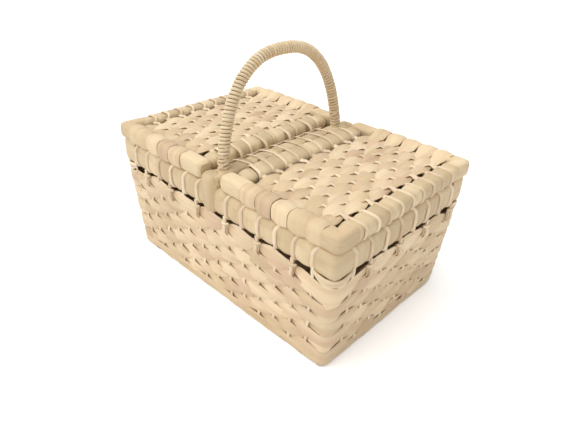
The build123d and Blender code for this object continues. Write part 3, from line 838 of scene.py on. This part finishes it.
# loops that tie the hinge cords to the bar
barLoops = {
    "places": (-77, -55, -33, -11, 11, 33, 55, 77), "lift": 0.4 * mm, "sideGrow": 0.9 * mm,
    "upGrow": 1.1 * mm, "bend": 0.62, "skew": 4.5 * mm,
    "look": {
        "Width": 4.2, "Thickness": 1.2, "Crown": 0.2, "Step": 2, "Wander": 0.5, "Ragged": 0.12, "Sides": 8,
        "Seed": 37,
    },
}
routes = newRoutes()
for place in barLoops["places"]:
    spot = Vector((0, place * mm, barMiddle + barLoops["lift"]))
    halfSide, halfUp = hingeHigh.x + barLoops["sideGrow"], barHalfHeight + barLoops["upGrow"]
    addLoop(routes, spot, alongY, alongX, halfSide, halfUp, barLoops["bend"], skew=barLoops["skew"])
layStrips("barLoops", routes, barLoops["look"], "cord", "basket", ["bar_loops"])

# handle: a flat strip wound round a leaning arch, with looser cords crossing at its feet
handleForm = {
    "span": 216 * mm, "rise": 173 * mm, "lean": 12.7 * mm, "curve": 0.81, "radius": 6.75 * mm,
    "bed": 1.2 * mm, "turns": 84, "perTurn": 16, "samples": 240, "intoBar": 2 * mm,
    "look": {
        "Width": 4.5, "Thickness": 2.4, "Crown": 1.1, "Step": 2.2, "Wander": 0.9, "Fold": 0.1, "Ragged": 0.14,
        "Sides": 8, "Seed": 41,
    },
    "footStart": 1 * mm, "footReach": 30 * mm, "footStep": 6 * mm, "footTurns": 1.1, "footStand": 1.3 * mm,
    "footStrands": 3, "footLook": {
        "Width": 3.4, "Thickness": 1.5, "Crown": 0.2, "Step": 1.8, "Wander": 0.8, "Ragged": 0.15, "Sides": 8,
        "Seed": 43,
    },
}
leanAngle = asin(handleForm["lean"] / handleForm["rise"])
archUp = Vector((-sin(leanAngle), 0, cos(leanAngle)))
archOut = Vector((cos(leanAngle), 0, sin(leanAngle)))


def archSpot(turn):
    y = handleForm["span"] / 2 * bent(cos(turn), handleForm["curve"])
    return Vector((0, y, rimLow.z)) + archUp * handleForm["rise"] * max(sin(turn), 0) ** handleForm["curve"]


footShare = (barHigh.z - handleForm["intoBar"] - rimLow.z) / handleForm["rise"] / cos(leanAngle)
footTurn = asin(footShare ** (1 / handleForm["curve"]))
archTurns = [(pi - 2 * footTurn) * step / handleForm["samples"] for step in range(handleForm["samples"] + 1)]
archPoints = [archSpot(footTurn + turn) for turn in archTurns]
archLengths = [0.0]
for first, second in zip(archPoints, archPoints[1:]):
    archLengths.append(archLengths[-1] + (second - first).length)


def archAt(along):
    leg = 0
    while leg < len(archPoints) - 2 and archLengths[leg + 1] < along:
        leg += 1
    way = (archPoints[leg + 1] - archPoints[leg]).normalized()
    return archPoints[leg] + way * (along - archLengths[leg]), way


def addWinding(routes, start, end, turns, radius, phaseTurn=0.0):
    points, crosses, outs = [], [], []
    count = int(abs(turns) * handleForm["perTurn"])
    for step in range(count + 1):
        spot, way = archAt(start + (end - start) * step / count)
        angle = 2 * pi * (turns * step / count + phaseTurn)
        out = archOut * cos(angle) + way.cross(archOut) * sin(angle)
        points.append(spot + out * radius)
        crosses.append(way)
        outs.append(out)
    addRoute(routes, points, crosses, outs)


routes = newRoutes()
windRadius = handleForm["radius"] - handleForm["bed"]
addWinding(routes, 0.0, archLengths[-1], handleForm["turns"], windRadius)
layStrips("handleWinding", routes, handleForm["look"], "winding", "basket", ["wound_handle"])
routes = newRoutes()
for end, way in ((0.0, 1), (archLengths[-1], -1)):
    for strand in range(handleForm["footStrands"]):
        reach = handleForm["footReach"] + handleForm["footStep"] * strand
        turns = (-1) ** strand * handleForm["footTurns"]
        start = end + way * handleForm["footStart"]
        radius = windRadius + handleForm["footStand"]
        addWinding(routes, start, end + way * reach, turns, radius, strand / handleForm["footStrands"])
layStrips("handleFeet", routes, handleForm["footLook"], "cord", "basket")
print("basket dressed")

# lid panels: columns of leaf over and under the warps, with every second end brought round the arm
lidForm = {
    "columns": 10, "warps": 10, "perWarp": 4, "level": 190.4 * mm, "railWidth": 20 * mm, "edgeGirth": 0.9,
    "edgeShift": 3.2 * mm, "armGirth": 1.13, "armGrow": 0.7 * mm, "armStart": 0.52, "armTurn": 0.76,
    "armSteps": 14, "armBend": 0.5, "tuckReach": 6 * mm, "tuckDrop": 5 * mm, "liningLevel": 189.0 * mm,
    "liningEdge": 0.6,
    "look": {
        "Width": 22, "Pinched Width": 10, "Thickness": 1.2, "Relief": 0.7, "Crown": 2.1, "Lean": 1.3,
        "Step": 2.8, "Wander": 1.8, "Fold": 1.5, "Ragged": 0.14, "Swell": 0.45, "Sides": 14, "Seed": 47,
    },
    "liningLook": {
        "Width": 22, "Pinched Width": 10, "Thickness": 1.1, "Relief": 0.7, "Crown": 1.4, "Lean": 1.0,
        "Step": 3.6, "Wander": 1.4, "Fold": 0.6, "Swell": 0.45, "Sides": 10, "Seed": 46,
    },
}
railMiddle = (lidLow.z + lidHigh.z) / 2
railHalfHeight = (lidHigh.z - lidLow.z) / 2
railHalf = lidForm["railWidth"] / 2
panelHalf = panelHigh.y
columnPitch = (panelHigh.x - panelLow.x) / lidForm["columns"]
lidWarpPitch = 2 * panelHalf / lidForm["warps"]
armMiddle = lidHigh.y - railHalf
endMiddle = lidHigh.x - railHalf
hingeRailMiddle = (railLow.x + railHigh.x) / 2
hingeRailHalf = (railHigh.x - railLow.x) / 2
lidWarpPlaces = [lidWarpPitch * (step - lidForm["warps"] / 2) for step in range(1, lidForm["warps"])]
lidSpanPlaces = [lidWarpPitch * (step + 0.5 - lidForm["warps"] / 2) for step in range(lidForm["warps"])]
lidTurns = [step / lidForm["perWarp"] for step in range(lidForm["warps"] * lidForm["perWarp"] + 1)]


def columnSpots(x, level):
    return [Vector((x, lidWarpPitch * (turn - lidForm["warps"] / 2), level)) for turn in lidTurns]


def armRound(x, sign):
    points, outs = [], []
    for step in range(lidForm["armSteps"] + 1):
        turn = pi * lidForm["armStart"] - 2 * pi * lidForm["armTurn"] * step / lidForm["armSteps"]
        y, z = bent(cos(turn), lidForm["armBend"]), bent(sin(turn), lidForm["armBend"])
        reach = armMiddle + (railHalf + lidForm["armGrow"]) * y
        points.append(Vector((x, sign * reach, railMiddle + (railHalfHeight + lidForm["armGrow"]) * z)))
        outs.append(Vector((0, sign * bent(y, 3), bent(z, 3))).normalized())
    return points, outs


def columnRoute(x, column):
    points = columnSpots(x, lidForm["level"])
    outs = [upward] * len(points)
    phases = [pi * (turn + column + 1) for turn in lidTurns]
    for sign, place in ((-1, 0), (1, lidForm["warps"])):
        if (place + column) % 2 == 1:
            lead, leadOuts = armRound(x, sign)
        else:
            reach = panelHalf + lidForm["tuckReach"]
            lead = [Vector((x, sign * reach, lidForm["level"] - lidForm["tuckDrop"]))]
            leadOuts = [upward]
        leadPhases = [pi * (place + column + 1)] * len(lead)
        if sign < 0:
            points, outs, phases = lead[::-1] + points, leadOuts[::-1] + outs, leadPhases + phases
        else:
            points, outs, phases = points + lead, outs + leadOuts, phases + leadPhases
    return points, outs, phases


def layPanel(side, sign, body):
    routes = newRoutes()
    lining = newRoutes()
    for column in range(lidForm["columns"]):
        x = panelLow.x + columnPitch * (column + 0.5)
        isEdge = column in (0, lidForm["columns"] - 1)
        if isEdge:
            x += lidForm["edgeShift"] if column == 0 else -lidForm["edgeShift"]
        points, outs, phases = columnRoute(sign * x, column)
        girth = lidForm["edgeGirth"] if isEdge else 1.0
        girths = [lidForm["armGirth"] if abs(spot.y) > panelHalf else girth for spot in points]
        addRoute(routes, points, alongX, outs, phases, girth=girths)
        # the underside shows the same weave, one warp along
        points = columnSpots(sign * x, lidForm["liningLevel"])
        phases = [pi * (turn + column) for turn in lidTurns]
        addRoute(lining, points, -alongX, -upward, phases, girth=lidForm["liningEdge"] if isEdge else 1.0)
    wraps = [f"{body}_panel", f"{body}_front_wraps", f"{body}_back_wraps"]
    layStrips(side + "LidLining", lining, lidForm["liningLook"], "weave", body)
    layStrips(side + "LidWefts", routes, lidForm["look"], "weave", body, wraps)


# warps of the lids, knotted at both ends
lidWarps = {
    "tie": 7 * mm, "knotGirth": 1.7, "knotPoints": 3,
    "look": {
        "Width": 5.0, "Thickness": 2.4, "Relief": 1.7, "Step": 2.4, "Wander": 0.9, "Ragged": 0.12, "Sides": 8,
        "Seed": 53,
    },
}


def layLidWarps(side, sign, body):
    routes = newRoutes()
    tie = alongX * sign * lidWarps["tie"]
    knot = [lidWarps["knotGirth"]] * lidWarps["knotPoints"]
    turns = [tick / lidForm["perWarp"] for tick in range(lidForm["columns"] * lidForm["perWarp"] + 1)]
    for step, y in enumerate(lidWarpPlaces, start=1):
        points = [Vector((sign * (panelLow.x + columnPitch * turn), y, lidForm["level"])) for turn in turns]
        points = [points[0] - tie] + points + [points[-1] + tie]
        phases = [pi * (step + turn - 0.5) for turn in turns]
        phases = phases[:1] + phases + phases[-1:]
        girths = knot + [1.0] * (len(points) - 2 * len(knot)) + knot
        addRoute(routes, points, alongY, upward, phases, girth=girths)
    layStrips(side + "LidWarps", routes, lidWarps["look"], "cord", body)


# lid rails: a leaf wrap between two loops, with the outermost trimmed to pass the handle's feet
lidRails = {
    "trim": 0.8 * mm, "endCurl": -2.5 * mm, "footTrim": 2.8 * mm, "hingeBend": 0.45, "hingeSkew": -3.0 * mm,
    "look": {
        "Width": 22.2, "Thickness": 1.0, "Crown": 2.1, "Step": 2.4, "Wander": 1.2, "Fold": 0.6,
        "Ragged": 0.06, "Sides": 14, "Seed": 59,
    },
}
# cord loops round the rails, every second one on the hinge side also round the hinge cord
lidLoops = {
    "grow": 0.8 * mm, "endCurl": -5 * mm, "hingeSkew": -3.5 * mm, "past": 3 * mm, "pastGrow": 0.6 * mm,
    "look": {
        "Width": 5.0, "Thickness": 3.0, "Crown": 0.3, "Step": 2, "Wander": 0.9, "Ragged": 0.14, "Sides": 8,
        "Seed": 61,
    },
}


def addRailLoop(routes, sign, x, y, halfSide, halfUp, bend=0.5, skew=0.0, curl=0.0):
    spot = Vector((sign * x, y, railMiddle))
    addLoop(routes, spot, alongY, alongX * sign, halfSide, halfUp, bend, skew=skew * sign, curl=curl * sign)


def layRails(side, sign, body):
    ends, hinges, loops = newRoutes(), newRoutes(), newRoutes()
    for y in lidSpanPlaces:
        trim, curl = lidRails["trim"], lidRails["endCurl"]
        addRailLoop(ends, sign, endMiddle, y, railHalf - trim, railHalfHeight - trim, curl=curl)
        if y in (lidSpanPlaces[0], lidSpanPlaces[-1]):
            trim = lidRails["footTrim"]
        addRailLoop(
            hinges, sign, hingeRailMiddle, y, hingeRailHalf - trim, railHalfHeight - trim,
            lidRails["hingeBend"], skew=lidRails["hingeSkew"],
        )
    tall = railHalfHeight + lidLoops["grow"]
    for y in lidWarpPlaces:
        addRailLoop(loops, sign, endMiddle, y, railHalf + lidLoops["grow"], tall, curl=lidLoops["endCurl"])
    for step, y in enumerate(lidWarpPlaces):
        middle, reach = hingeRailMiddle, hingeRailHalf + lidLoops["grow"]
        if step % 2:
            inner = hingeX - lidLoops["past"]
            middle, reach = (railHigh.x + inner) / 2, (railHigh.x - inner) / 2 + lidLoops["pastGrow"]
        addRailLoop(loops, sign, middle, y, reach, tall, skew=lidLoops["hingeSkew"])
    layStrips(side + "EndWraps", ends, lidRails["look"], "wrap", body, [f"{body}_frame"])
    layStrips(side + "HingeWraps", hinges, lidRails["look"], "wrap", body, [f"{body}_hinge_rail"])
    loopNodes = [f"{body}_end_loops", f"{body}_rail_loops", f"{body}_hinge_loops"]
    layStrips(side + "LidLoops", loops, lidLoops["look"], "cord", body, loopNodes)


# smooth patches: arm ends with a rounded nose beside the bar, and the outer corners of the rails
lidCorners = {
    "nose": 0.5 * mm, "tail": 8 * mm, "shares": (0.0, 0.04, 0.1, 0.2, 0.5, 1.0),
    "girths": (0.72, 0.88, 0.97, 1.0, 1.0, 1.0), "lead": 7 * mm, "steps": 16, "stand": 0.6 * mm,
    "point": 2.6 * mm,
    "look": {
        "Width": 21.6, "Thickness": 22, "Step": 2, "Wander": 0.5, "Fold": 0.6, "Roundness": 0.55, "Sides": 28,
        "Seed": 67,
    },
}


def layLidCorners(side, sign, body):
    routes = newRoutes()
    nose = railLow.x - lidCorners["nose"]
    armLength = panelLow.x + lidCorners["tail"] - nose
    reach = endMiddle - panelHigh.x + lidCorners["lead"]
    axisX = alongX * sign
    for armSign in (-1, 1):
        axisY = alongY * armSign
        arm = axisY * armMiddle + upward * railMiddle
        points = [arm + axisX * (nose + armLength * share) for share in lidCorners["shares"]]
        addRoute(routes, points, upward, axisY, girth=list(lidCorners["girths"]))
        points, outs = [], []
        for step in range(lidCorners["steps"] + 1):
            share = step / lidCorners["steps"]
            turn = share * pi / 2
            out = axisX * cos(turn) + axisY * sin(turn)
            before, after = max(0.0, 1 - 4 * share), max(0.0, 4 * share - 3)  # straight leads of the bend
            stand = lidCorners["stand"] + lidCorners["point"] * sin(2 * turn)
            points.append(arm + axisX * (endMiddle - reach * after) - axisY * reach * before + out * stand)
            outs.append(out)
        addRoute(routes, points, upward, outs)
    layStrips(side + "LidCorners", routes, lidCorners["look"], "wrap", body, [f"{body}_corner_wraps"])


for side, sign in (("left", -1), ("right", 1)):
    for layPart in (layPanel, layLidWarps, layRails, layLidCorners):
        layPart(side, sign, side + "_lid")
    print(side, "lid dressed")

# pale floor that keeps the shadow, and looks white in the light
stageForm = {
    "size": 12.0, "floorWhite": (0.97, 0.97, 0.97, 1), "floorRough": 0.9, "lift": 0.24, "sunStrength": 1.95,
    "sunAngle": 60.0, "sunTurn": (24, -16, 0), "worldStrength": 0.66,
}
floorMesh = bpy.data.meshes.new("floor")
edge = stageForm["size"] / 2
floorCorners = [(-edge, -edge, 0), (edge, -edge, 0), (edge, edge, 0), (-edge, edge, 0)]
floorMesh.from_pydata(floorCorners, [], [(0, 1, 2, 3)])
floorPlate = bpy.data.objects.new("floor", floorMesh)
bpy.context.collection.objects.link(floorPlate)
floorFinish = bpy.data.materials.new("paleFloor")
floorFinish.use_nodes = True
floorTree = floorFinish.node_tree
floorShader = floorTree.nodes["Principled BSDF"]
floorShader.inputs["Base Color"].default_value = stageForm["floorWhite"]
floorShader.inputs["Roughness"].default_value = stageForm["floorRough"]
floorShader.inputs["Specular IOR Level"].default_value = 0.0
floorShader.inputs["Emission Color"].default_value = (1, 1, 1, 1)
rays = addNode(floorTree, "ShaderNodeLightPath").outputs
floorGlow = calc(floorTree, "MULTIPLY", rays["Is Camera Ray"], stageForm["lift"])
link(floorTree, floorGlow, floorShader.inputs["Emission Strength"])
floorMesh.materials.append(floorFinish)

# soft light all round, white where it is seen, and a broad sun from above
world = bpy.data.worlds.new("studio")
bpy.context.scene.world = world
world.use_nodes = True
worldTree = world.node_tree
sky = worldTree.nodes["Background"]
rays = addNode(worldTree, "ShaderNodeLightPath").outputs
seen = calc(worldTree, "MAXIMUM", rays["Is Camera Ray"], rays["Is Glossy Ray"])
strength = mapRange(worldTree, seen, 0.0, 1.0, stageForm["worldStrength"], 1.0, smooth=False)
sky.inputs["Color"].default_value = (1, 1, 1, 1)
link(worldTree, strength, sky.inputs["Strength"])

sunData = bpy.data.lights.new("softSun", "SUN")
sunData.energy = stageForm["sunStrength"]
sunData.angle = radians(stageForm["sunAngle"])
sun = bpy.data.objects.new("softSun", sunData)
sun.rotation_euler = [radians(turn) for turn in stageForm["sunTurn"]]
bpy.context.collection.objects.link(sun)

# camera at the photo's viewing angle
shot = {
    "azimuth": 42.64, "elevation": 31.87, "roll": 2.49, "focalPixels": 507.1, "imageWidth": 580, "sensor": 36,
    "nearest": 0.01, "place": (433.02 * mm, -457.38 * mm, 466.4 * mm),
}
az, el, roll = (radians(shot[key]) for key in ("azimuth", "elevation", "roll"))
back = Vector((sin(az) * cos(el), -cos(az) * cos(el), sin(el)))
right = Vector((cos(az), sin(az), 0))
top = back.cross(right)
cameraX = right * cos(roll) + top * sin(roll)
cameraY = top * cos(roll) - right * sin(roll)
cameraData = bpy.data.cameras.new("camera")
cameraData.sensor_width = shot["sensor"]
cameraData.lens = shot["sensor"] * shot["focalPixels"] / shot["imageWidth"]
cameraData.clip_start = shot["nearest"]
camera = bpy.data.objects.new("camera", cameraData)
cameraRows = zip(cameraX, cameraY, back, shot["place"])
camera.matrix_world = Matrix((*cameraRows, (0, 0, 0, 1)))
bpy.context.collection.objects.link(camera)
bpy.context.scene.camera = camera
bpy.context.scene.view_settings.view_transform = "Standard"
print("stage set,", sum(triangles.values()), "triangles in", len(triangles), "pieces")
